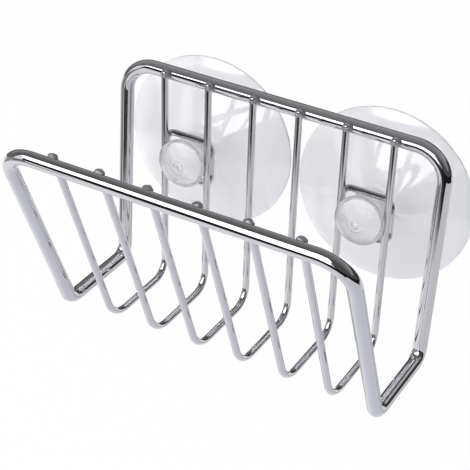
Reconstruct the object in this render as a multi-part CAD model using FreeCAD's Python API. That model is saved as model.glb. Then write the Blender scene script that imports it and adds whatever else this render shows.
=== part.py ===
"""Sponge holder: a welded wire basket that hangs on a wall by two suction cups.

Frame of the model, in millimetres: the wall is the plane Y = 0 and the basket lies at negative Y.
X runs along the rails, Z is up, and the origin is midway between the two cups at the height of
their axes. Every piece is a solid of its own, written to parts/NAME.step.
"""

import FreeCAD
import Part
import math
import os

Vector = FreeCAD.Vector

# Frame: one closed loop of heavy wire, sizes between the wire's centre lines
frame_wire = 5.0
frame_width = 120.0
back_height = 80.0
floor_depth = 36.0
front_reach = 72.5
front_height = 77.0
rail_corner_radius = 11.0
back_bend_radius = 5.0
front_bend_radius = 7.0

# Ribs: thin wires inside the frame, evenly spaced between the uprights
rib_count = 6
rib_wire = 2.5
rib_floor_drop = 2.75
rib_back_set = 1.0
rib_front_set = 2.0
rib_back_bend_radius = 6.5
rib_front_bend_radius = 13.0
rib_back_end = 2.5
rib_front_end = 0.8
rib_end_round_share = 0.8

# Welds: how far a thin wire is set down into the wire that carries it
weld_sink = 0.25

# Brackets: closed wire rings behind the two outer pairs of ribs
bracket_wire = 2.4
bracket_outset = 0.9
bracket_corner_radius = 3.6
bracket_clearance = 0.3

# Suction cups: one soft moulding each, with disc, neck and knob
wall_gap = 16.5
cup_axis_height = 49.0
cup_diameter = 65.0
cone_height = 9.6
cup_hollow = 7.0
lip_width = 2.0
lip_thickness = 0.8
neck_root_radius = 1.6
neck_clearance = 0.3
knob_overlap = 1.6
knob_rim = 1.8
knob_rise = 2.8
knob_edge_radius = 0.8
gate_radius = 1.5
gate_depth = 0.3

# Places that follow from the sizes above
half_width = frame_width / 2
back_y = -wall_gap
floor_z = -cup_axis_height
back_rail = Vector(0, back_y, floor_z + back_height)
back_corner = Vector(0, back_y, floor_z)
front_corner = Vector(0, back_y - floor_depth, floor_z)
front_rail = Vector(0, back_y - front_reach, floor_z + front_height)

rib_pitch = frame_width / (rib_count + 1)
rib_gap = rib_pitch - rib_wire
rib_seat = (frame_wire + rib_wire) / 2 - weld_sink
rib_back_corner = back_corner + Vector(0, rib_back_set, -rib_floor_drop)
rib_front_corner = front_corner + Vector(0, rib_front_set, -rib_floor_drop)
rib_places = [rib_pitch * (number + 1) - half_width for number in range(rib_count)]

neck_radius = rib_gap / 2 - neck_clearance
knob_radius = rib_gap / 2 + knob_overlap
left_cup_x = (rib_places[0] + rib_places[1]) / 2
right_cup_x = (rib_places[-2] + rib_places[-1]) / 2

same_place = 1e-4
full_turn = 360


def bend(before, corner, after, radius):
    """Start, middle and end of the arc that rounds one corner of a path."""
    to_before = (before - corner).normalize()
    to_after = (after - corner).normalize()
    half_angle = to_before.getAngle(to_after) / 2
    tangent = radius / math.tan(half_angle)
    inset = radius / math.sin(half_angle) - radius
    middle = corner + (to_before + to_after).normalize() * inset
    return corner + to_before * tangent, middle, corner + to_after * tangent


def bent_path(start, corners, end):
    """Straight runs from start to end by way of the (corner, radius) pairs, joined by arcs."""
    points = [start] + [corner for corner, radius in corners] + [end]
    edges = []
    reached = start
    for index, (corner, radius) in enumerate(corners):
        arc_start, arc_middle, arc_end = bend(points[index], corner, points[index + 2], radius)
        edges.append(Part.LineSegment(reached, arc_start).toShape())
        edges.append(Part.Arc(arc_start, arc_middle, arc_end).toShape())
        reached = arc_end
    edges.append(Part.LineSegment(reached, end).toShape())
    return Part.Wire(edges)


def round_wire(path, diameter):
    """Solid of round wire that follows a path."""
    first = path.Edges[0]
    start = first.valueAt(first.FirstParameter)
    direction = first.tangentAt(first.FirstParameter)
    section = Part.Wire(Part.Circle(start, direction, diameter / 2).toShape())
    return path.makePipeShell([section], True, False)


def circle_edges(solid, centre, radius):
    """Full circles of a solid about one centre, used to pick the edges that get rounded."""
    found = []
    for edge in solid.Edges:
        curve = None if edge.Degenerated else edge.Curve
        if isinstance(curve, Part.Circle) and abs(curve.Radius - radius) < same_place:
            if (curve.Center - centre).Length < same_place:
                found.append(edge)
    return found


def seated_end(corner, rail, side, beyond):
    """End of a rib that leaves a corner and lies against one side of a rail, and runs past it."""
    to_rail = rail - corner
    along = math.sqrt(to_rail.Length ** 2 - rib_seat ** 2)
    turn = side * math.degrees(math.atan2(rib_seat, along))
    direction = FreeCAD.Rotation(Vector(1, 0, 0), turn).multVec(to_rail).normalize()
    return corner + direction * (along + beyond)


rib_back_tip = seated_end(rib_back_corner, back_rail, 1, rib_back_end)
rib_front_tip = seated_end(rib_front_corner, front_rail, -1, rib_front_end)

# The ribs lean a little towards the basket, and the brackets lie flat on them
rib_up = (rib_back_tip - rib_back_corner).normalize()
rib_out = rib_up.cross(Vector(1, 0, 0))
rib_at_axis = rib_back_corner + rib_up * ((cup_axis_height + rib_floor_drop) / rib_up.z)


def make_frame():
    """Closed loop of heavy wire: back rail, uprights, floor bars, legs and front rail."""
    side = Vector(half_width, 0, 0)
    seam = back_rail
    corners = [
        (back_rail + side, rail_corner_radius),
        (back_corner + side, back_bend_radius),
        (front_corner + side, front_bend_radius),
        (front_rail + side, rail_corner_radius),
        (front_rail - side, rail_corner_radius),
        (front_corner - side, front_bend_radius),
        (back_corner - side, back_bend_radius),
        (back_rail - side, rail_corner_radius),
    ]
    return round_wire(bent_path(seam, corners, seam), frame_wire)


def make_rib(place, frame):
    """Thin wire down the back, under the sponge and up the front, welded inside both rails."""
    shift = Vector(place, 0, 0)
    start = rib_back_tip + shift
    end = rib_front_tip + shift
    corners = [
        (rib_back_corner + shift, rib_back_bend_radius),
        (rib_front_corner + shift, rib_front_bend_radius),
    ]
    wire = round_wire(bent_path(start, corners, end), rib_wire)
    rims = circle_edges(wire, start, rib_wire / 2) + circle_edges(wire, end, rib_wire / 2)
    rounded = wire.makeFillet(rib_wire / 2 * rib_end_round_share, rims)
    return rounded.cut(frame).Solids[0]


def make_bracket(cup_x, ribs):
    """Closed ring of wire on the back of two ribs, just wide enough for the neck of a cup."""
    half_ring = (rib_pitch + bracket_outset) / 2
    half_height = neck_radius + bracket_clearance + bracket_wire / 2
    set_back = rib_out * ((rib_wire + bracket_wire) / 2 - weld_sink)
    level_again = rib_up * (set_back.z / rib_up.z)
    centre = rib_at_axis + set_back - level_again + Vector(cup_x, 0, 0)
    across = Vector(half_ring, 0, 0)
    up = rib_up * half_height
    seam = centre + up
    corners = [
        (centre + across + up, bracket_corner_radius),
        (centre + across - up, bracket_corner_radius),
        (centre - across - up, bracket_corner_radius),
        (centre - across + up, bracket_corner_radius),
    ]
    return round_wire(bent_path(seam, corners, seam), bracket_wire).cut(ribs).Solids[0]


def cap_level(radius, rim_radius, rim_level, top_level):
    """Level at a radius on the spherical cap, or dish, with the given rim and middle."""
    rise = top_level - rim_level
    sphere = (rim_radius ** 2 + rise ** 2) / (2 * rise)
    return top_level - sphere + math.copysign(math.sqrt(sphere ** 2 - radius ** 2), sphere)


def knob_back_level():
    """Level of the knob's underside, clear of the leaning ribs that it hooks over."""
    reach = math.sqrt(knob_radius ** 2 - (rib_gap / 2) ** 2)
    lean = reach * abs(rib_up.y) / rib_up.z
    return abs(rib_at_axis.y) + lean + rib_wire / 2 / rib_up.z + neck_clearance


def make_cup(cup_x):
    """Soft cup turned about its own axis: hollow cone, neck through the ring, and round knob."""
    cup_radius = cup_diameter / 2
    hollow_radius = cup_radius - lip_width
    knob_back = knob_back_level()
    knob_front = knob_back + knob_rim
    pole = knob_front + knob_rise
    gate_level = cap_level(gate_radius, knob_radius, knob_front, pole)

    def at(radius, level):
        return Vector(cup_x + radius, -level, 0)

    def cap(from_radius, to_radius, rim_radius, rim_level, top_level):
        radii = (from_radius, (from_radius + to_radius) / 2, to_radius)
        return Part.Arc(*[at(r, cap_level(r, rim_radius, rim_level, top_level)) for r in radii])

    outline = [
        cap(0, hollow_radius, hollow_radius, 0, cup_hollow),
        Part.LineSegment(at(hollow_radius, 0), at(cup_radius, 0)),
        Part.LineSegment(at(cup_radius, 0), at(cup_radius, lip_thickness)),
        Part.LineSegment(at(cup_radius, lip_thickness), at(neck_radius, cone_height)),
        Part.LineSegment(at(neck_radius, cone_height), at(neck_radius, knob_back)),
        Part.LineSegment(at(neck_radius, knob_back), at(knob_radius, knob_back)),
        Part.LineSegment(at(knob_radius, knob_back), at(knob_radius, knob_front)),
        cap(knob_radius, gate_radius, knob_radius, knob_front, pole),
        cap(gate_radius, 0, gate_radius, gate_level, gate_level - gate_depth),
        Part.LineSegment(at(0, gate_level - gate_depth), at(0, cup_hollow)),
    ]
    profile = Part.Face(Part.Wire([piece.toShape() for piece in outline]))
    turned = profile.revolve(at(0, 0), Vector(0, 1, 0), full_turn)
    neck_root = circle_edges(turned, at(0, cone_height), neck_radius)
    rooted = turned.makeFillet(neck_root_radius, neck_root)
    knob_edges = circle_edges(rooted, at(0, knob_back), knob_radius)
    knob_edges += circle_edges(rooted, at(0, knob_front), knob_radius)
    return rooted.makeFillet(knob_edge_radius, knob_edges).Solids[0]


perimeter_frame = make_frame()
rib_wires = [make_rib(place, perimeter_frame) for place in rib_places]

pieces = {"perimeter_frame": perimeter_frame}
for number, rib in enumerate(rib_wires):
    pieces["rib_wire_%d" % (number + 1)] = rib
pieces["left_cup_bracket"] = make_bracket(left_cup_x, rib_wires[:2])
pieces["right_cup_bracket"] = make_bracket(right_cup_x, rib_wires[-2:])
pieces["left_suction_cup"] = make_cup(left_cup_x)
pieces["right_suction_cup"] = make_cup(right_cup_x)

os.makedirs("parts", exist_ok=True)
for name, shape in pieces.items():
    shape.exportStep("parts/%s.step" % name)
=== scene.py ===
import math
import bpy
from mathutils import Matrix, Vector


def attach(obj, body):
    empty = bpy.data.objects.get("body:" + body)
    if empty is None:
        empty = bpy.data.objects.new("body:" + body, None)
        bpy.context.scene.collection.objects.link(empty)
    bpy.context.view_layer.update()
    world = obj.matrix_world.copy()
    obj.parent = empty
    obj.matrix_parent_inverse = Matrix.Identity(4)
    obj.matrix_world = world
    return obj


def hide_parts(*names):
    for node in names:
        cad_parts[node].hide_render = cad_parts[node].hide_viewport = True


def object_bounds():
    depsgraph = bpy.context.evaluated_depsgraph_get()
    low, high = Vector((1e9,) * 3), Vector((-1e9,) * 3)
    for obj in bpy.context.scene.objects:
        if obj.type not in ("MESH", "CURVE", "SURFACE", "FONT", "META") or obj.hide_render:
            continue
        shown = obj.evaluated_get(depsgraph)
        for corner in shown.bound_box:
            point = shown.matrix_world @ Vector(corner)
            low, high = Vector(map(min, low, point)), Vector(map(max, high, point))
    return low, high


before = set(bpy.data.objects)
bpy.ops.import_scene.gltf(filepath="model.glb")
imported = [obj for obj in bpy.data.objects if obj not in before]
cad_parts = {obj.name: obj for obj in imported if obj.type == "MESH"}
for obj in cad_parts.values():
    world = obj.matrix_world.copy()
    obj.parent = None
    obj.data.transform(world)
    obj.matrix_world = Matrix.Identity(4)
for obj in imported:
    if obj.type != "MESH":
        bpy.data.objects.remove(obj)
cad_box = [list(corner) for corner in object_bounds()]


# Perimeter frame: one length of 5 mm drawn steel wire, bent into a closed loop of back rail,
# uprights, floor bars, sloping legs and front rail, and butt-welded behind the back rail.
# The basket is welded up first and plated in one go, so all its wires have the same chrome.
mm = 0.001
wall_gap = 16.5 * mm
cup_axis_height = 49.0 * mm
frame_wire = 5.0 * mm
half_width = 60.0 * mm
back_height = 80.0 * mm
floor_depth = 36.0 * mm
front_reach = 72.5 * mm
front_height = 77.0 * mm
rail_corner_radius = 11.0 * mm
back_bend_radius = 5.0 * mm
front_bend_radius = 7.0 * mm
back_rail = Vector((0, -wall_gap, back_height - cup_axis_height))
back_corner = Vector((0, -wall_gap, -cup_axis_height))
front_corner = Vector((0, -wall_gap - floor_depth, -cup_axis_height))
front_rail = Vector((0, -wall_gap - front_reach, front_height - cup_axis_height))


def add_node(tree, kind, links=None, **settings):
    """Adds a node with its settings. Its inputs take values, or the sockets of other nodes."""
    made = tree.nodes.new(kind)
    for name, value in settings.items():
        setattr(made, name, value)
    for socket, value in (links or {}).items():
        if isinstance(value, bpy.types.NodeSocket):
            tree.links.new(value, made.inputs[socket])
        else:
            made.inputs[socket].default_value = value
    return made


def linear(hex_colour):
    """Linear RGBA of an sRGB colour written as #RRGGBB."""
    shares = [int(hex_colour[place:place + 2], 16) / 255 for place in (1, 3, 5)]
    return [c / 12.92 if c < 0.04045 else ((c + 0.055) / 1.055) ** 2.4 for c in shares] + [1.0]


# Bright chrome over nickel: a mirror a little darker than silver and faintly blue. The drawn wire
# leaves fine lines along its length, 0.1 mm apart and here 0.4 mm so that they show, and the
# plating settles in a shallow swell some 6 mm long that bends the reflections slightly.
chrome = bpy.data.materials.new("bright_chrome_plating")
chrome.use_nodes = True
looks = chrome.node_tree
metal = looks.nodes["Principled BSDF"]
metal.inputs["Base Color"].default_value = linear("#CACACE")
metal.inputs["Metallic"].default_value = 1.0
draw_line = 0.4 * mm
draw_stretch = 60.0
draw_height = 0.0002 * mm
swell = 6.0 * mm
swell_height = 0.006 * mm
smoothest, roughest = 0.03, 0.08
around = add_node(looks, "ShaderNodeAttribute", attribute_name="around")
along = add_node(looks, "ShaderNodeAttribute", attribute_name="along")
run = add_node(looks, "ShaderNodeMath", {
    0: along.outputs["Fac"], 1: draw_stretch}, operation="DIVIDE")
lengthwise = add_node(looks, "ShaderNodeCombineXYZ", {"Z": run.outputs[0]})
flow = add_node(looks, "ShaderNodeVectorMath", {
    0: around.outputs["Vector"], 1: lengthwise.outputs[0]})
lines = add_node(looks, "ShaderNodeTexNoise", {"Vector": flow.outputs[0], "Scale": 1 / draw_line})
place = add_node(looks, "ShaderNodeTexCoord")
swells = add_node(looks, "ShaderNodeTexNoise", {
    "Vector": place.outputs["Object"], "Scale": 1 / swell})
gloss = add_node(looks, "ShaderNodeMapRange", {
    "Value": lines.outputs["Fac"], "To Min": smoothest, "To Max": roughest})
looks.links.new(gloss.outputs[0], metal.inputs["Roughness"])
fine = add_node(looks, "ShaderNodeBump", {"Height": lines.outputs["Fac"], "Distance": draw_height})
broad = add_node(looks, "ShaderNodeBump", {
    "Height": swells.outputs["Fac"], "Distance": swell_height, "Normal": fine.outputs[0]})
looks.links.new(broad.outputs[0], metal.inputs["Normal"])

# The bent wire as a rule: a chain of straight runs gets its bends, then the round section. Near
# an open end the section shrinks along a quarter circle, which rounds the cut.
bent_wire = bpy.data.node_groups.new("bent_wire", "GeometryNodeTree")
wire_inputs = {}
for label, kind in (
        ("Runs", "NodeSocketGeometry"), ("Wire diameter", "NodeSocketFloat"),
        ("End rounding", "NodeSocketFloat"), ("Bend steps", "NodeSocketInt"),
        ("Round steps", "NodeSocketInt"), ("Finish", "NodeSocketMaterial")):
    socket = bent_wire.interface.new_socket(label, in_out="INPUT", socket_type=kind)
    wire_inputs[label] = socket.identifier
bent_wire.interface.new_socket("Wire", in_out="OUTPUT", socket_type="NodeSocketGeometry")
given = add_node(bent_wire, "NodeGroupInput").outputs
chain = add_node(bent_wire, "GeometryNodeMeshToCurve", {"Mesh": given["Runs"]})
bends = add_node(bent_wire, "GeometryNodeInputNamedAttribute", {"Name": "bend_radius"})
path = add_node(bent_wire, "GeometryNodeFilletCurve", {
    "Curve": chain.outputs[0], "Count": given["Bend steps"],
    "Radius": bends.outputs[0]}, mode="POLY")
travel = add_node(bent_wire, "GeometryNodeSplineParameter")
marked = add_node(bent_wire, "GeometryNodeStoreNamedAttribute", {
    "Geometry": path.outputs[0], "Name": "along", "Value": travel.outputs["Length"]})
total = add_node(bent_wire, "GeometryNodeSplineLength")
left_over = add_node(bent_wire, "ShaderNodeMath", {
    0: total.outputs["Length"], 1: travel.outputs["Length"]}, operation="SUBTRACT")
from_end = add_node(bent_wire, "ShaderNodeMath", {
    0: left_over.outputs[0], 1: travel.outputs["Length"]}, operation="MINIMUM")
end_share = add_node(bent_wire, "ShaderNodeMath", {
    0: from_end.outputs[0], 1: given["End rounding"]}, operation="DIVIDE")
inward = add_node(bent_wire, "ShaderNodeMath", {
    0: 1.0, 1: end_share.outputs[0]}, operation="SUBTRACT", use_clamp=True)
square = add_node(bent_wire, "ShaderNodeMath", {0: inward.outputs[0], 1: 2.0}, operation="POWER")
rest = add_node(bent_wire, "ShaderNodeMath", {0: 1.0, 1: square.outputs[0]}, operation="SUBTRACT")
fullness = add_node(bent_wire, "ShaderNodeMath", {0: rest.outputs[0]}, operation="SQRT")
lacking = add_node(bent_wire, "ShaderNodeMath", {
    0: 1.0, 1: fullness.outputs[0]}, operation="SUBTRACT")
half_wire = add_node(bent_wire, "ShaderNodeMath", {
    0: given["Wire diameter"], 1: 2.0}, operation="DIVIDE")
end_part = add_node(bent_wire, "ShaderNodeMath", {
    0: given["End rounding"], 1: half_wire.outputs[0]}, operation="DIVIDE")
taken = add_node(bent_wire, "ShaderNodeMath", {
    0: lacking.outputs[0], 1: end_part.outputs[0]}, operation="MULTIPLY")
taper = add_node(bent_wire, "ShaderNodeMath", {0: 1.0, 1: taken.outputs[0]}, operation="SUBTRACT")
circle = add_node(bent_wire, "GeometryNodeCurvePrimitiveCircle", {
    "Resolution": given["Round steps"], "Radius": half_wire.outputs[0]})
spot = add_node(bent_wire, "GeometryNodeInputPosition")
section = add_node(bent_wire, "GeometryNodeStoreNamedAttribute", {
    "Geometry": circle.outputs[0], "Name": "around"}, data_type="FLOAT_VECTOR")
bent_wire.links.new(spot.outputs[0], section.inputs["Value"])
skin = add_node(bent_wire, "GeometryNodeCurveToMesh", {
    "Curve": marked.outputs[0], "Profile Curve": section.outputs[0], "Scale": taper.outputs[0],
    "Fill Caps": True})
smooth = add_node(bent_wire, "GeometryNodeSetShadeSmooth", {"Geometry": skin.outputs[0]})
real = add_node(bent_wire, "GeometryNodeRealizeInstances", {"Geometry": smooth.outputs[0]})
plated = add_node(bent_wire, "GeometryNodeSetMaterial", {
    "Geometry": real.outputs[0], "Material": given["Finish"]})
add_node(bent_wire, "NodeGroupOutput", {"Wire": plated.outputs[0]})
bend_steps = 24
round_steps = 64


def nodes_to_mesh(name, start, tree, values):
    """Runs a node tree on a starting mesh and keeps the result as a plain mesh object."""
    piece = bpy.data.objects.new(name, start)
    bpy.context.scene.collection.objects.link(piece)
    rule = piece.modifiers.new("rule", "NODES")
    rule.node_group = tree
    for socket, value in values.items():
        rule[socket] = value
    evaluated = bpy.context.evaluated_depsgraph_get()
    made = bpy.data.meshes.new_from_object(
        piece.evaluated_get(evaluated), preserve_all_data_layers=True, depsgraph=evaluated)
    piece.modifiers.clear()
    piece.data = made
    return piece


def wire_piece(name, corners, diameter, closed, end_rounding=0.0):
    """Round wire through (corner, bend radius) pairs, as a loop or with two rounded ends."""
    count = len(corners)
    runs = [(n, (n + 1) % count) for n in range(count if closed else count - 1)]
    start = bpy.data.meshes.new(name + "_runs")
    start.from_pydata([corner for corner, radius in corners], runs, [])
    bend_radius = start.attributes.new("bend_radius", "FLOAT", "POINT")
    for spot, (corner, radius) in zip(bend_radius.data, corners):
        spot.value = radius
    piece = nodes_to_mesh(name, start, bent_wire, {
        wire_inputs["Wire diameter"]: diameter, wire_inputs["End rounding"]: end_rounding,
        wire_inputs["Bend steps"]: bend_steps, wire_inputs["Round steps"]: round_steps,
        wire_inputs["Finish"]: chrome})
    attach(piece, "basket")
    return piece


side = Vector((half_width, 0, 0))
frame_loop = wire_piece("frame_loop", [
    (back_rail, 0.0),
    (back_rail + side, rail_corner_radius),
    (back_corner + side, back_bend_radius),
    (front_corner + side, front_bend_radius),
    (front_rail + side, rail_corner_radius),
    (front_rail - side, rail_corner_radius),
    (front_corner - side, front_bend_radius),
    (back_corner - side, back_bend_radius),
    (back_rail - side, rail_corner_radius),
], frame_wire, closed=True)
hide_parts("perimeter_frame")


# Ribs: six lengths of 2.5 mm wire bent to the basket's side view, evenly spaced between the
# uprights. Each is resistance-welded inside both rails, and its rounded ends stand past them.
rib_count = 6
rib_wire = 2.5 * mm
rib_floor_drop = 2.75 * mm
rib_back_set = 1.0 * mm
rib_front_set = 2.0 * mm
rib_back_bend_radius = 6.5 * mm
rib_front_bend_radius = 13.0 * mm
rib_back_end = 2.5 * mm
rib_front_end = 0.8 * mm
rib_end_rounding = 1.0 * mm
weld_sink = 0.25 * mm
rib_pitch = 2 * half_width / (rib_count + 1)
rib_seat = (frame_wire + rib_wire) / 2 - weld_sink
rib_back_corner = back_corner + Vector((0, rib_back_set, -rib_floor_drop))
rib_front_corner = front_corner + Vector((0, rib_front_set, -rib_floor_drop))
end_steps = 8


def seated_direction(corner, rail, turn_side):
    """Direction and length of a rib from a corner to where it lies against one side of a rail."""
    to_rail = rail - corner
    length = math.sqrt(to_rail.length ** 2 - rib_seat ** 2)
    turn = Matrix.Rotation(turn_side * math.atan2(rib_seat, length), 3, "X")
    return (turn @ to_rail).normalized(), length


def rounded_tip(corner, direction, length):
    """Points from the tip of a rib to where its rounding starts, set closer near the tip."""
    steps = [rib_end_rounding * (1 - math.cos(math.pi / 2 * n / end_steps))
             for n in range(end_steps + 1)]
    return [(corner + direction * (length - step), 0.0) for step in steps]


rib_up, rib_back_length = seated_direction(rib_back_corner, back_rail, 1)
rib_fore, rib_front_length = seated_direction(rib_front_corner, front_rail, -1)
rib_line = rounded_tip(rib_back_corner, rib_up, rib_back_length + rib_back_end)
rib_line += [(rib_back_corner, rib_back_bend_radius), (rib_front_corner, rib_front_bend_radius)]
rib_line += rounded_tip(rib_front_corner, rib_fore, rib_front_length + rib_front_end)[::-1]
rib_places = [rib_pitch * (n + 1) - half_width for n in range(rib_count)]
for number, rib_x in enumerate(rib_places):
    shift = Vector((rib_x, 0, 0))
    rib = wire_piece("rib_%d" % (number + 1), [(spot + shift, radius) for spot, radius in rib_line],
                     rib_wire, closed=False, end_rounding=rib_end_rounding)
    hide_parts("rib_wire_%d" % (number + 1))


# Cup rings: two closed, rounded-square rings of 2.4 mm wire, laid flat on the backs of the two
# outer pairs of ribs and welded to them. The neck of a suction cup is pushed through each ring.
ring_wire = 2.4 * mm
ring_outset = 0.9 * mm
ring_corner_radius = 3.6 * mm
ring_clearance = 0.3 * mm
neck_clearance = 0.3 * mm
rib_gap = rib_pitch - rib_wire
neck_radius = rib_gap / 2 - neck_clearance
cup_x = (rib_places[-2] + rib_places[-1]) / 2
rib_at_axis = rib_back_corner + rib_up * ((cup_axis_height + rib_floor_drop) / rib_up.z)
rib_out = rib_up.cross(Vector((1, 0, 0)))
set_back = rib_out * ((rib_wire + ring_wire) / 2 - weld_sink)
ring_middle = rib_at_axis + set_back - rib_up * (set_back.z / rib_up.z)
ring_across = Vector(((rib_pitch + ring_outset) / 2, 0, 0))
ring_up = rib_up * (neck_radius + ring_clearance + ring_wire / 2)
for hand, ring_x in (("left", -cup_x), ("right", cup_x)):
    middle = ring_middle + Vector((ring_x, 0, 0))
    ring = wire_piece(hand + "_ring", [
        (middle - ring_up, 0.0),
        (middle + ring_across - ring_up, ring_corner_radius),
        (middle + ring_across + ring_up, ring_corner_radius),
        (middle - ring_across + ring_up, ring_corner_radius),
        (middle - ring_across - ring_up, ring_corner_radius),
    ], ring_wire, closed=True)
    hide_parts(hand + "_cup_bracket")


# Weld beads: where a rib meets a rail or a ring, the metal was pressed together hot and has
# swelled into a small uneven nugget that is plated over with the rest.
weld_beads = bpy.data.node_groups.new("weld_beads", "GeometryNodeTree")
bead_inputs = {}
for label, kind in (
        ("Spots", "NodeSocketGeometry"), ("Ball steps", "NodeSocketInt"),
        ("Lump size", "NodeSocketFloat"), ("Lump height", "NodeSocketFloat"),
        ("Finish", "NodeSocketMaterial")):
    socket = weld_beads.interface.new_socket(label, in_out="INPUT", socket_type=kind)
    bead_inputs[label] = socket.identifier
weld_beads.interface.new_socket("Beads", in_out="OUTPUT", socket_type="NodeSocketGeometry")
given = add_node(weld_beads, "NodeGroupInput").outputs
ball = add_node(weld_beads, "GeometryNodeMeshIcoSphere", {
    "Radius": 1.0, "Subdivisions": given["Ball steps"]})
half_axes = add_node(weld_beads, "GeometryNodeInputNamedAttribute", {
    "Name": "half_axes"}, data_type="FLOAT_VECTOR")
tilt = add_node(weld_beads, "GeometryNodeInputNamedAttribute", {
    "Name": "tilt"}, data_type="FLOAT_VECTOR")
turn = add_node(weld_beads, "FunctionNodeEulerToRotation", {0: tilt.outputs[0]})
balls = add_node(weld_beads, "GeometryNodeInstanceOnPoints", {
    "Points": given["Spots"], "Instance": ball.outputs["Mesh"], "Rotation": turn.outputs[0],
    "Scale": half_axes.outputs[0]})
real = add_node(weld_beads, "GeometryNodeRealizeInstances", {"Geometry": balls.outputs[0]})
spot = add_node(weld_beads, "GeometryNodeInputPosition")
facing = add_node(weld_beads, "GeometryNodeInputNormal")
fineness = add_node(weld_beads, "ShaderNodeMath", {
    0: 1.0, 1: given["Lump size"]}, operation="DIVIDE")
lumps = add_node(weld_beads, "ShaderNodeTexNoise", {
    "Vector": spot.outputs[0], "Scale": fineness.outputs[0], "Detail": 1.0})
swing = add_node(weld_beads, "ShaderNodeMapRange", {
    "Value": lumps.outputs["Fac"], "To Min": -1.0, "To Max": 1.0})
height = add_node(weld_beads, "ShaderNodeMath", {
    0: swing.outputs[0], 1: given["Lump height"]}, operation="MULTIPLY")
push = add_node(weld_beads, "ShaderNodeVectorMath", {
    0: facing.outputs[0], "Scale": height.outputs[0]}, operation="SCALE")
lumpy = add_node(weld_beads, "GeometryNodeSetPosition", {
    "Geometry": real.outputs[0], "Offset": push.outputs[0]})
smooth = add_node(weld_beads, "GeometryNodeSetShadeSmooth", {"Geometry": lumpy.outputs[0]})
plated = add_node(weld_beads, "GeometryNodeSetMaterial", {
    "Geometry": smooth.outputs[0], "Material": given["Finish"]})
add_node(weld_beads, "NodeGroupOutput", {"Beads": plated.outputs[0]})

# Plating over the skin of a weld stays matt, with grains about 0.5 mm across.
weld_chrome = bpy.data.materials.new("matt_chrome_on_weld")
weld_chrome.use_nodes = True
looks = weld_chrome.node_tree
metal = looks.nodes["Principled BSDF"]
metal.inputs["Base Color"].default_value = linear("#B0B0B2")
metal.inputs["Metallic"].default_value = 1.0
metal.inputs["Roughness"].default_value = 0.55
grain = 0.5 * mm
grain_height = 0.012 * mm
place = add_node(looks, "ShaderNodeTexCoord")
grains = add_node(looks, "ShaderNodeTexNoise", {
    "Vector": place.outputs["Object"], "Scale": 1 / grain})
pits = add_node(looks, "ShaderNodeBump", {
    "Height": grains.outputs["Fac"], "Distance": grain_height})
looks.links.new(pits.outputs[0], metal.inputs["Normal"])

# Half sizes of the beads across, through and along the rib, and how far each is set off its weld.
back_bead = (1.55 * mm, 1.8 * mm, 1.75 * mm)
front_bead = (1.85 * mm, 1.45 * mm, 1.5 * mm)
ring_bead = (0.75 * mm, 0.9 * mm, 1.2 * mm)
back_past = 0.7 * mm
front_past = -0.2 * mm
bead_to_rail = 0.4 * mm
ring_bead_outset = 0.9 * mm
ball_steps = 4
lump_size = 1.3 * mm
lump_height = 0.35 * mm
bead_spots = []
for rib_x in rib_places:
    for corner, direction, length, rail, past, half_sizes in (
            (rib_back_corner, rib_up, rib_back_length, back_rail, back_past, back_bead),
            (rib_front_corner, rib_fore, rib_front_length, front_rail, front_past, front_bead)):
        touch = corner + direction * length
        towards_rail = (rail - touch).normalized()
        where = touch + direction * past + towards_rail * bead_to_rail + Vector((rib_x, 0, 0))
        bead_spots.append((where, half_sizes, direction))
leg_end = rib_up * (neck_radius + ring_clearance + ring_wire / 2 - ring_corner_radius)
leg_outset = Vector((rib_pitch / 2 + ring_bead_outset, 0, 0))
behind_rib = set_back / 2
for ring_x in (-cup_x, cup_x):
    for across in (-1, 1):
        for upward in (-1, 1):
            where = (ring_middle - behind_rib + Vector((ring_x, 0, 0))
                     + leg_outset * across + leg_end * upward)
            bead_spots.append((where, ring_bead, rib_up))
spots = bpy.data.meshes.new("bead_spots")
spots.from_pydata([where for where, half_sizes, direction in bead_spots], [], [])
sizes_kept = spots.attributes.new("half_axes", "FLOAT_VECTOR", "POINT")
tilts_kept = spots.attributes.new("tilt", "FLOAT_VECTOR", "POINT")
for number, (where, half_sizes, direction) in enumerate(bead_spots):
    sizes_kept.data[number].vector = half_sizes
    tilts_kept.data[number].vector = (-math.atan2(direction.y, direction.z), 0, 0)
beads = nodes_to_mesh("weld_beads", spots, weld_beads, {
    bead_inputs["Ball steps"]: ball_steps, bead_inputs["Lump size"]: lump_size,
    bead_inputs["Lump height"]: lump_height, bead_inputs["Finish"]: weld_chrome})
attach(beads, "basket")


# Suction cups: each is one moulding of soft clear PVC, with a thin hollow disc, a neck that passes
# through the ring and a round knob that keeps it there. The gate leaves a small mark on the knob.
cup_radius = 32.5 * mm
cone_height = 9.6 * mm
cup_hollow = 7.0 * mm
lip_width = 2.0 * mm
lip_thickness = 0.8 * mm
lip_edge_radius = 0.3 * mm
neck_root_radius = 1.6 * mm
knob_overlap = 1.6 * mm
knob_radius = rib_gap / 2 + knob_overlap
knob_rim = 1.8 * mm
knob_rise = 2.8 * mm
knob_edge_radius = 0.8 * mm
knob_root = 0.2 * mm
gate_radius = 1.5 * mm
gate_depth = 0.3 * mm
pip_sink = 0.05 * mm
ring_mark_radius = 2.6 * mm
ring_mark_width = 0.35 * mm
ring_mark_depth = 0.12 * mm
turn_steps = 160
hollow_steps, lip_steps, root_steps, edge_steps, face_steps = 40, 5, 10, 8, 120


def cap_sphere(rim_radius, rim_level, top_level):
    """Radius and centre level of the sphere of a cap with the given rim and middle."""
    rise = top_level - rim_level
    radius = (rim_radius ** 2 + rise ** 2) / (2 * rise)
    return radius, top_level - radius


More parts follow.
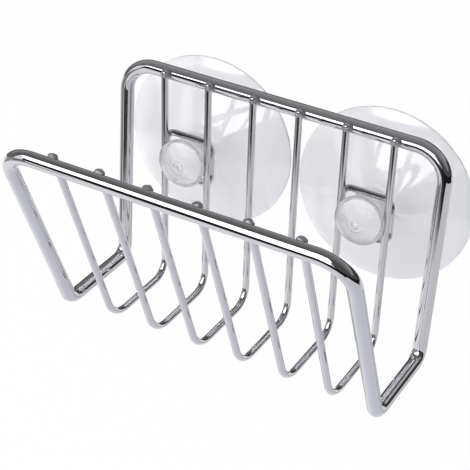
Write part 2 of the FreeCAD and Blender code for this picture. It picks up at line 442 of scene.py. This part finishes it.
def arc(centre_radius, centre_level, radius, start, end, steps):
    """Points of an arc in the half section, from one angle to another, in degrees."""
    angles = [math.radians(start + (end - start) * n / steps) for n in range(steps + 1)]
    return [(centre_radius + radius * math.cos(angle), centre_level + radius * math.sin(angle))
            for angle in angles]


def cap_arc(sphere, middle_level, from_radius, to_radius, steps):
    """Points of a cap's arc between two distances from the axis."""
    start, end = (math.degrees(math.acos(r / sphere)) for r in (from_radius, to_radius))
    return arc(0.0, middle_level, sphere, start, end, steps)


def half_section():
    """Half section of the cup, as (distance from the axis, height above the wall), hollow first."""
    hollow_radius = cup_radius - lip_width
    hollow, hollow_middle = cap_sphere(hollow_radius, 0.0, cup_hollow)
    line = cap_arc(hollow, hollow_middle, 0.0, hollow_radius, hollow_steps)
    edge = lip_edge_radius
    line += arc(cup_radius - edge, edge, edge, -90, 0, lip_steps)
    cone = math.atan2(cone_height - lip_thickness, cup_radius - neck_radius)
    lip_level = lip_thickness - edge * (1 - math.sin(cone)) / math.cos(cone)
    line += arc(cup_radius - edge, lip_level, edge, 0, 90 - math.degrees(cone), lip_steps)
    root = neck_root_radius
    root_level = cone_height + root * (1 / math.cos(cone) - math.tan(cone))
    line += arc(neck_radius + root, root_level, root, -90 - math.degrees(cone), -180, root_steps)
    reach = math.sqrt(knob_radius ** 2 - (rib_gap / 2) ** 2)
    rib_room = (reach * abs(rib_up.y) + rib_wire / 2) / rib_up.z
    knob_back = -rib_at_axis.y + rib_room + neck_clearance
    knob_front = knob_back + knob_rim
    edge = knob_edge_radius
    line += [(neck_radius, knob_back - knob_root), (neck_radius + knob_root, knob_back)]
    line += arc(knob_radius - edge, knob_back + edge, edge, -90, 0, edge_steps)
    knob, knob_middle = cap_sphere(knob_radius, knob_front, knob_front + knob_rise)
    edge_level = knob_middle + math.sqrt((knob - edge) ** 2 - (knob_radius - edge) ** 2)
    slope = math.atan2(edge_level - knob_middle, knob_radius - edge)
    line += arc(knob_radius - edge, edge_level, edge, 0, math.degrees(slope), edge_steps)
    face = cap_arc(knob, knob_middle, knob * math.cos(slope), gate_radius, face_steps)[1:]
    for distance, level in face:
        share = (distance - ring_mark_radius) / ring_mark_width
        line.append((distance, level - ring_mark_depth * math.exp(-share ** 2)))
    gate_level = line[-1][1]
    gate_steps = ((0.9, gate_depth * 0.8), (0.6, gate_depth), (0.4, gate_depth), (0.3, pip_sink))
    line += [(gate_radius * share, gate_level - sink) for share, sink in gate_steps]
    line.append((0.0, gate_level))
    return line


# Clear plasticised PVC, moulded against a polished tool: glossy, slightly milky and faintly violet,
# with a shallow unevenness some 4 mm across where the soft disc has cooled. Its index is set below
# the 1.53 of PVC, because the milky moulding blurs its own outlines, and that of its gloss coat
# above it, so that the studio shows on the discs as brightly as on the real ones.
pvc = bpy.data.materials.new("clear_pvc_moulding")
pvc.use_nodes = True
looks = pvc.node_tree
plastic = looks.nodes["Principled BSDF"]
for label, value in (
        ("IOR", 1.45), ("Specular IOR Level", 0.1), ("Coat IOR", 1.8), ("Coat Roughness", 0.03)):
    plastic.inputs[label].default_value = value
cooled = 4.0 * mm
cooled_height = 0.02 * mm
place = add_node(looks, "ShaderNodeTexCoord")
uneven = add_node(looks, "ShaderNodeTexNoise", {
    "Vector": place.outputs["Object"], "Scale": 1 / cooled})
dent = add_node(looks, "ShaderNodeBump", {
    "Height": uneven.outputs["Fac"], "Distance": cooled_height})
looks.links.new(dent.outputs[0], plastic.inputs["Normal"])

# The thin disc scatters more light than the thick knob, and the neck grades from one to the other.
level = add_node(looks, "ShaderNodeSeparateXYZ", {0: place.outputs["Object"]})
neck_start = -13.0 * mm
neck_end = -17.0 * mm
for label, disc, knob in (
        ("Coat Weight", 1.0, 0.24), ("Transmission Weight", 0.68, 0.86), ("Roughness", 0.45, 0.27)):
    finish = add_node(looks, "ShaderNodeMapRange", {
        "Value": level.outputs["Y"], "From Min": neck_start, "From Max": neck_end,
        "To Min": disc, "To Max": knob})
    looks.links.new(finish.outputs[0], plastic.inputs[label])
thick = add_node(looks, "ShaderNodeMapRange", {
    "Value": level.outputs["Y"], "From Min": neck_start, "From Max": neck_end})
tint = add_node(looks, "ShaderNodeMix", {
    0: thick.outputs[0], 6: linear("#F8F8FC"), 7: linear("#F2F2F4")}, data_type="RGBA")
looks.links.new(tint.outputs[2], plastic.inputs["Base Color"])


def turned_mesh(name, line, axis_x):
    """Mesh of a half section turned about a line along Y, closed at both poles."""
    spots = []
    for distance, level in line:
        count = turn_steps if distance > 0 else 1
        for n in range(count):
            angle = 2 * math.pi * n / turn_steps
            spots.append((axis_x + distance * math.cos(angle), -level, distance * math.sin(angle)))
    faces = []
    start = 0
    for (here, _), (there, _) in zip(line, line[1:]):
        here_count = turn_steps if here > 0 else 1
        after = start + here_count
        for n in range(turn_steps):
            m = (n + 1) % turn_steps
            if here == 0:
                faces.append((start, after + m, after + n))
            elif there == 0:
                faces.append((start + n, start + m, after))
            else:
                faces.append((start + n, start + m, after + m, after + n))
        start = after
    mesh = bpy.data.meshes.new(name)
    mesh.from_pydata(spots, [], faces)
    mesh.shade_smooth()
    return mesh


# The hollow's pole lies on the axis itself, which the cosine of a right angle misses by a hair.
section_line = half_section()
section_line[0] = (0.0, section_line[0][1])
for hand, axis_x in (("left", -cup_x), ("right", cup_x)):
    name = hand + "_cup_moulding"
    cup = bpy.data.objects.new(name, turned_mesh(name, section_line, axis_x))
    bpy.context.scene.collection.objects.link(cup)
    cup.data.materials.append(pvc)
    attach(cup, hand + "_cup")
    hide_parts(hand + "_suction_cup")


# Studio: a seamless white floor and backdrop, one large soft light from the front left, and the
# dark boards that metal is photographed with. The boards show in reflections only.
floor_level = cad_box[0][2]
scene = bpy.context.scene
scene.view_settings.view_transform = "Standard"


def board(name, corners, shade):
    """A flat board of the set, in the given material."""
    mesh = bpy.data.meshes.new(name)
    mesh.from_pydata(corners, [], [tuple(range(len(corners)))])
    made = bpy.data.objects.new(name, mesh)
    scene.collection.objects.link(made)
    mesh.materials.append(shade)
    return made


def only_reflected(made):
    """Keeps a board out of everything but mirror reflections."""
    made.visible_camera = False
    made.visible_diffuse = False
    made.visible_transmission = False
    made.visible_shadow = False


# White paper: plain white to the camera and through the cups, and matt under the light. Metal
# mirrors the white studio all round in its place.
white_paper = bpy.data.materials.new("white_paper_floor")
white_paper.use_nodes = True
looks = white_paper.node_tree
looks.nodes.clear()
rays = add_node(looks, "ShaderNodeLightPath")
seen = add_node(looks, "ShaderNodeMath", {
    0: rays.outputs["Is Camera Ray"], 1: rays.outputs["Is Glossy Ray"]}, operation="MAXIMUM")
shown = add_node(looks, "ShaderNodeMath", {
    0: seen.outputs[0], 1: rays.outputs["Is Transmission Ray"]}, operation="MAXIMUM")
glow_share = 0.98
paper_share = add_node(looks, "ShaderNodeMath", {
    0: shown.outputs[0], 1: glow_share}, operation="MULTIPLY")
paper = add_node(looks, "ShaderNodeBsdfDiffuse", {"Color": linear("#F7F7F8")})
glow = add_node(looks, "ShaderNodeEmission", {"Strength": 1.0})
mixed = add_node(looks, "ShaderNodeMixShader", {
    0: paper_share.outputs[0], 1: paper.outputs[0], 2: glow.outputs[0]})
add_node(looks, "ShaderNodeOutputMaterial", {"Surface": mixed.outputs[0]})
floor_reach = 1.5
floor_corners = ((-1, -1), (1, -1), (1, 1), (-1, 1))
floor = board("studio_floor", [
    (x * floor_reach, y * floor_reach, floor_level) for x, y in floor_corners], white_paper)
floor.visible_glossy = False


# Cloth of the boards: each point keeps the level at which metal mirrors it.
cloth = bpy.data.materials.new("board_cloth")
cloth.use_nodes = True
looks = cloth.node_tree
looks.nodes.clear()
kept = add_node(looks, "ShaderNodeAttribute", attribute_name="level")
felt = add_node(looks, "ShaderNodeEmission", {"Strength": kept.outputs["Fac"]})
add_node(looks, "ShaderNodeOutputMaterial", {"Surface": felt.outputs[0]})


def towards(azimuth, elevation):
    """Direction at an azimuth from the front, to the right, and an elevation, in degrees."""
    a, e = math.radians(azimuth), math.radians(elevation)
    return Vector((math.sin(a) * math.cos(e), -math.cos(a) * math.cos(e), math.sin(e)))


def far_board(name, level, stations, soft=0.0, distance=2.0):
    """A curved board far off, through (azimuth, lowest elevation, highest elevation) in degrees.

    Its lower edge fades from white over the given number of degrees.
    """
    spots, levels = [], []
    steps = 6
    for (a0, low0, high0), (a1, low1, high1) in zip(stations, stations[1:]):
        for n in range(steps + 1):
            share = n / steps
            azimuth = a0 + (a1 - a0) * share
            low = low0 + (low1 - low0) * share
            high = high0 + (high1 - high0) * share
            for m in range(steps + 1):
                rise = low if m == 0 else low + soft + (high - low - soft) * (m - 1) / (steps - 1)
                spots.append(towards(azimuth, rise) * distance)
                levels.append(1.0 if m == 0 and soft else level)
    row = steps + 1
    quads = [(row * n + m, row * n + m + 1, row * n + m + row + 1, row * n + m + row)
             for n in range(len(spots) // row - 1) if (n + 1) % row for m in range(steps)]
    mesh = bpy.data.meshes.new(name)
    mesh.from_pydata(spots, [], quads)
    mesh.attributes.new("level", "FLOAT", "POINT").data.foreach_set("value", levels)
    mesh.materials.append(cloth)
    made = bpy.data.objects.new(name, mesh)
    scene.collection.objects.link(made)
    only_reflected(made)


# Each board stands where wires mirror it. The low ones in front give the black line along the rails
# and the streaks down the uprights, those at the sides and below give the edges of the legs, and
# those behind give the tops of the rails and the lines along the floor bars. The soft box gives the
# white bands of the rails and the wedges on the discs. Boards that overlap differ in distance.
far_board("front_low_board", 0.015, [
    (-40, -6, 14), (-33, -10, 14), (-28, -26, 13), (-24, -31, 8), (-18, -31, 0), (36, -31, -4),
    (46, -20, -4), (125, -20, -4)], soft=2.5)
far_board("left_low_board", 0.25, [(-60, -33, -8), (-35, -33, -6)], soft=2)
far_board("far_left_board", 0.45, [(-90, -32, -10), (-60, -32, -8)], soft=2)
far_board("soft_box", 3.2, [
    (-60, 30, 65), (-33, 15, 65), (-28, 14, 65), (-24, 9, 65), (-18, 1, 65), (15, -2, 65),
    (22, 25, 62), (30, 30, 60)])
far_board("right_board", 0.10, [(24, -6, 20), (34, -6, 85), (125, -6, 85)], distance=2.02)
far_board("left_board", 0.20, [(-125, -10, 85), (-62, -10, 85)], distance=2.02)
far_board("left_back_board", 0.05, [(-160, -12, 10), (-126, -12, 10)])
far_board("back_low_board", 0.66, [(140, -46, -30), (192, -40, -30)])
far_board("left_floor_board", 0.66, [(-160, -46, -34), (-125, -56, -42), (-108, -62, -50)])
far_board("right_low_board", 0.82, [(50, -40, -20), (138, -40, -20)])
far_board("back_board", 0.22, [(186, -12, 60), (245, -12, 60)], distance=2.04)
far_board("right_back_board", 0.06, [(125, -12, 60), (186, -12, 60)], distance=2.04)
far_board("back_strip", 0.60, [(128, 18, 60), (157, 18, 60)])

# A small black card in front of each ring, seen in reflections only: its upper wire mirrors it as a
# painted dark reflection.
painted_reflection_level = 0.05
card_y, card_low, card_high = -19.3 * mm, 8.9 * mm, 12.3 * mm
card_to_left, card_to_right = 8.2 * mm, 6.8 * mm
painted_reflection_card = bpy.data.materials.new("painted_reflection_card")
painted_reflection_card.use_nodes = True
looks = painted_reflection_card.node_tree
looks.nodes.clear()
felt = add_node(looks, "ShaderNodeEmission", {"Strength": painted_reflection_level})
add_node(looks, "ShaderNodeOutputMaterial", {"Surface": felt.outputs[0]})
for hand, card_x in (("left", -cup_x), ("right", cup_x)):
    card_left, card_right = card_x - card_to_left, card_x + card_to_right
    card = board(hand + "_card", [
        (card_left, card_y, card_low), (card_right, card_y, card_low),
        (card_right, card_y, card_high), (card_left, card_y, card_high)], painted_reflection_card)
    only_reflected(card)

# A low ceiling board over the basket, dark at its front edge and grey behind, for the tops of the
# rails and their bends.
ceiling_height, ceiling_reach = 0.100, 0.6
ceiling_front, ceiling_back, grey_from = -0.137, 0.08, 0.055
front_level, back_level = 0.08, 0.45
shaded_cloth = bpy.data.materials.new("shaded_cloth")
shaded_cloth.use_nodes = True
looks = shaded_cloth.node_tree
looks.nodes.clear()
place = add_node(looks, "ShaderNodeTexCoord")
depth = add_node(looks, "ShaderNodeSeparateXYZ", {0: place.outputs["Object"]})
shade = add_node(looks, "ShaderNodeMapRange", {
    "Value": depth.outputs["Y"], "From Min": ceiling_front, "From Max": grey_from,
    "To Min": front_level, "To Max": back_level})
felt = add_node(looks, "ShaderNodeEmission", {"Strength": shade.outputs[0]})
add_node(looks, "ShaderNodeOutputMaterial", {"Surface": felt.outputs[0]})
ceiling = board("ceiling_board", [
    (-ceiling_reach, ceiling_front, ceiling_height), (ceiling_reach, ceiling_front, ceiling_height),
    (ceiling_reach, ceiling_back, ceiling_height), (-ceiling_reach, ceiling_back, ceiling_height)],
    shaded_cloth)
only_reflected(ceiling)

# White all round: plain to the camera and through the cups, weaker as light on matt surfaces, and
# in metal a little brighter at the left than at the right, and faintly blue low at the right.
matt_level = 0.52
slant_reach, left_level, right_level = 0.7, 1.12, 0.88
blue_direction = (0.447, 0.0, -0.894)
blue_from, blue_to = 0.5, 0.9
world = bpy.data.worlds.new("white_studio")
scene.world = world
world.use_nodes = True
looks = world.node_tree
rays = add_node(looks, "ShaderNodeLightPath")
seen = add_node(looks, "ShaderNodeMath", {
    0: rays.outputs["Is Camera Ray"], 1: rays.outputs["Is Glossy Ray"]}, operation="MAXIMUM")
shown = add_node(looks, "ShaderNodeMath", {
    0: seen.outputs[0], 1: rays.outputs["Is Transmission Ray"]}, operation="MAXIMUM")
plain = add_node(looks, "ShaderNodeMapRange", {
    "Value": shown.outputs[0], "To Min": matt_level, "To Max": 1.0})
heading = add_node(looks, "ShaderNodeTexCoord")
sideways = add_node(looks, "ShaderNodeSeparateXYZ", {0: heading.outputs["Generated"]})
slanted = add_node(looks, "ShaderNodeMapRange", {
    "Value": sideways.outputs["X"], "From Min": -slant_reach, "From Max": slant_reach,
    "To Min": left_level, "To Max": right_level})
level = add_node(looks, "ShaderNodeMix", {
    0: rays.outputs["Is Glossy Ray"], 2: plain.outputs[0], 3: slanted.outputs[0]})
down_right = add_node(looks, "ShaderNodeVectorMath", {
    0: heading.outputs["Generated"], 1: blue_direction}, operation="DOT_PRODUCT")
below = add_node(looks, "ShaderNodeMapRange", {
    "Value": down_right.outputs["Value"], "From Min": blue_from, "From Max": blue_to})
mirrored = add_node(looks, "ShaderNodeMath", {
    0: rays.outputs["Is Glossy Ray"], 1: below.outputs[0]}, operation="MULTIPLY")
paper_tint = add_node(looks, "ShaderNodeMix", {
    0: mirrored.outputs[0], 6: linear("#FFFFFF"), 7: linear("#F0F2FB")}, data_type="RGBA")
looks.links.new(paper_tint.outputs[2], looks.nodes["Background"].inputs["Color"])
looks.links.new(level.outputs[0], looks.nodes["Background"].inputs["Strength"])

# One large soft light, which is itself kept out of the reflections.
lamp_level, lamp_distance = 2.9, 0.75
lamp_azimuth, lamp_elevation = -34, 20
soft_light = bpy.data.lights.new("soft_light", "AREA")
soft_light.shape = "RECTANGLE"
soft_light.size = 0.75
soft_light.size_y = 0.95
soft_light.energy = lamp_level * math.pi * soft_light.size * soft_light.size_y
lamp = bpy.data.objects.new("soft_light", soft_light)
scene.collection.objects.link(lamp)
towards_lamp = towards(lamp_azimuth, lamp_elevation)
lamp.location = towards_lamp * lamp_distance
lamp.rotation_mode = "QUATERNION"
lamp.rotation_quaternion = towards_lamp.to_track_quat("Z", "Y")
lamp.visible_camera = False
lamp.visible_glossy = False

# Camera: fitted to the wires and bends in the photograph, with its slight roll.
picture_side = 470
focal_pixels = 1415.0
camera_azimuth, camera_elevation = 27.020, 31.852
roll = math.radians(3.661)
eye_distance, eye_right, eye_up = 511.77 * mm, -10.849 * mm, 24.576 * mm
backward = towards(camera_azimuth, camera_elevation)
level_right = Vector((
    math.cos(math.radians(camera_azimuth)), math.sin(math.radians(camera_azimuth)), 0))
level_up = backward.cross(level_right)
view_right = level_right * math.cos(roll) + level_up * math.sin(roll)
view_up = level_up * math.cos(roll) - level_right * math.sin(roll)
eye = back_corner + backward * eye_distance + view_right * eye_right + view_up * eye_up
camera = bpy.data.objects.new("camera", bpy.data.cameras.new("camera"))
scene.collection.objects.link(camera)
camera.data.sensor_width = 36.0
camera.data.lens = focal_pixels * camera.data.sensor_width / picture_side
camera.data.clip_start = 0.01
turned = Matrix((view_right, view_up, backward)).transposed().to_4x4()
camera.matrix_world = Matrix.Translation(eye) @ turned
scene.camera = camera
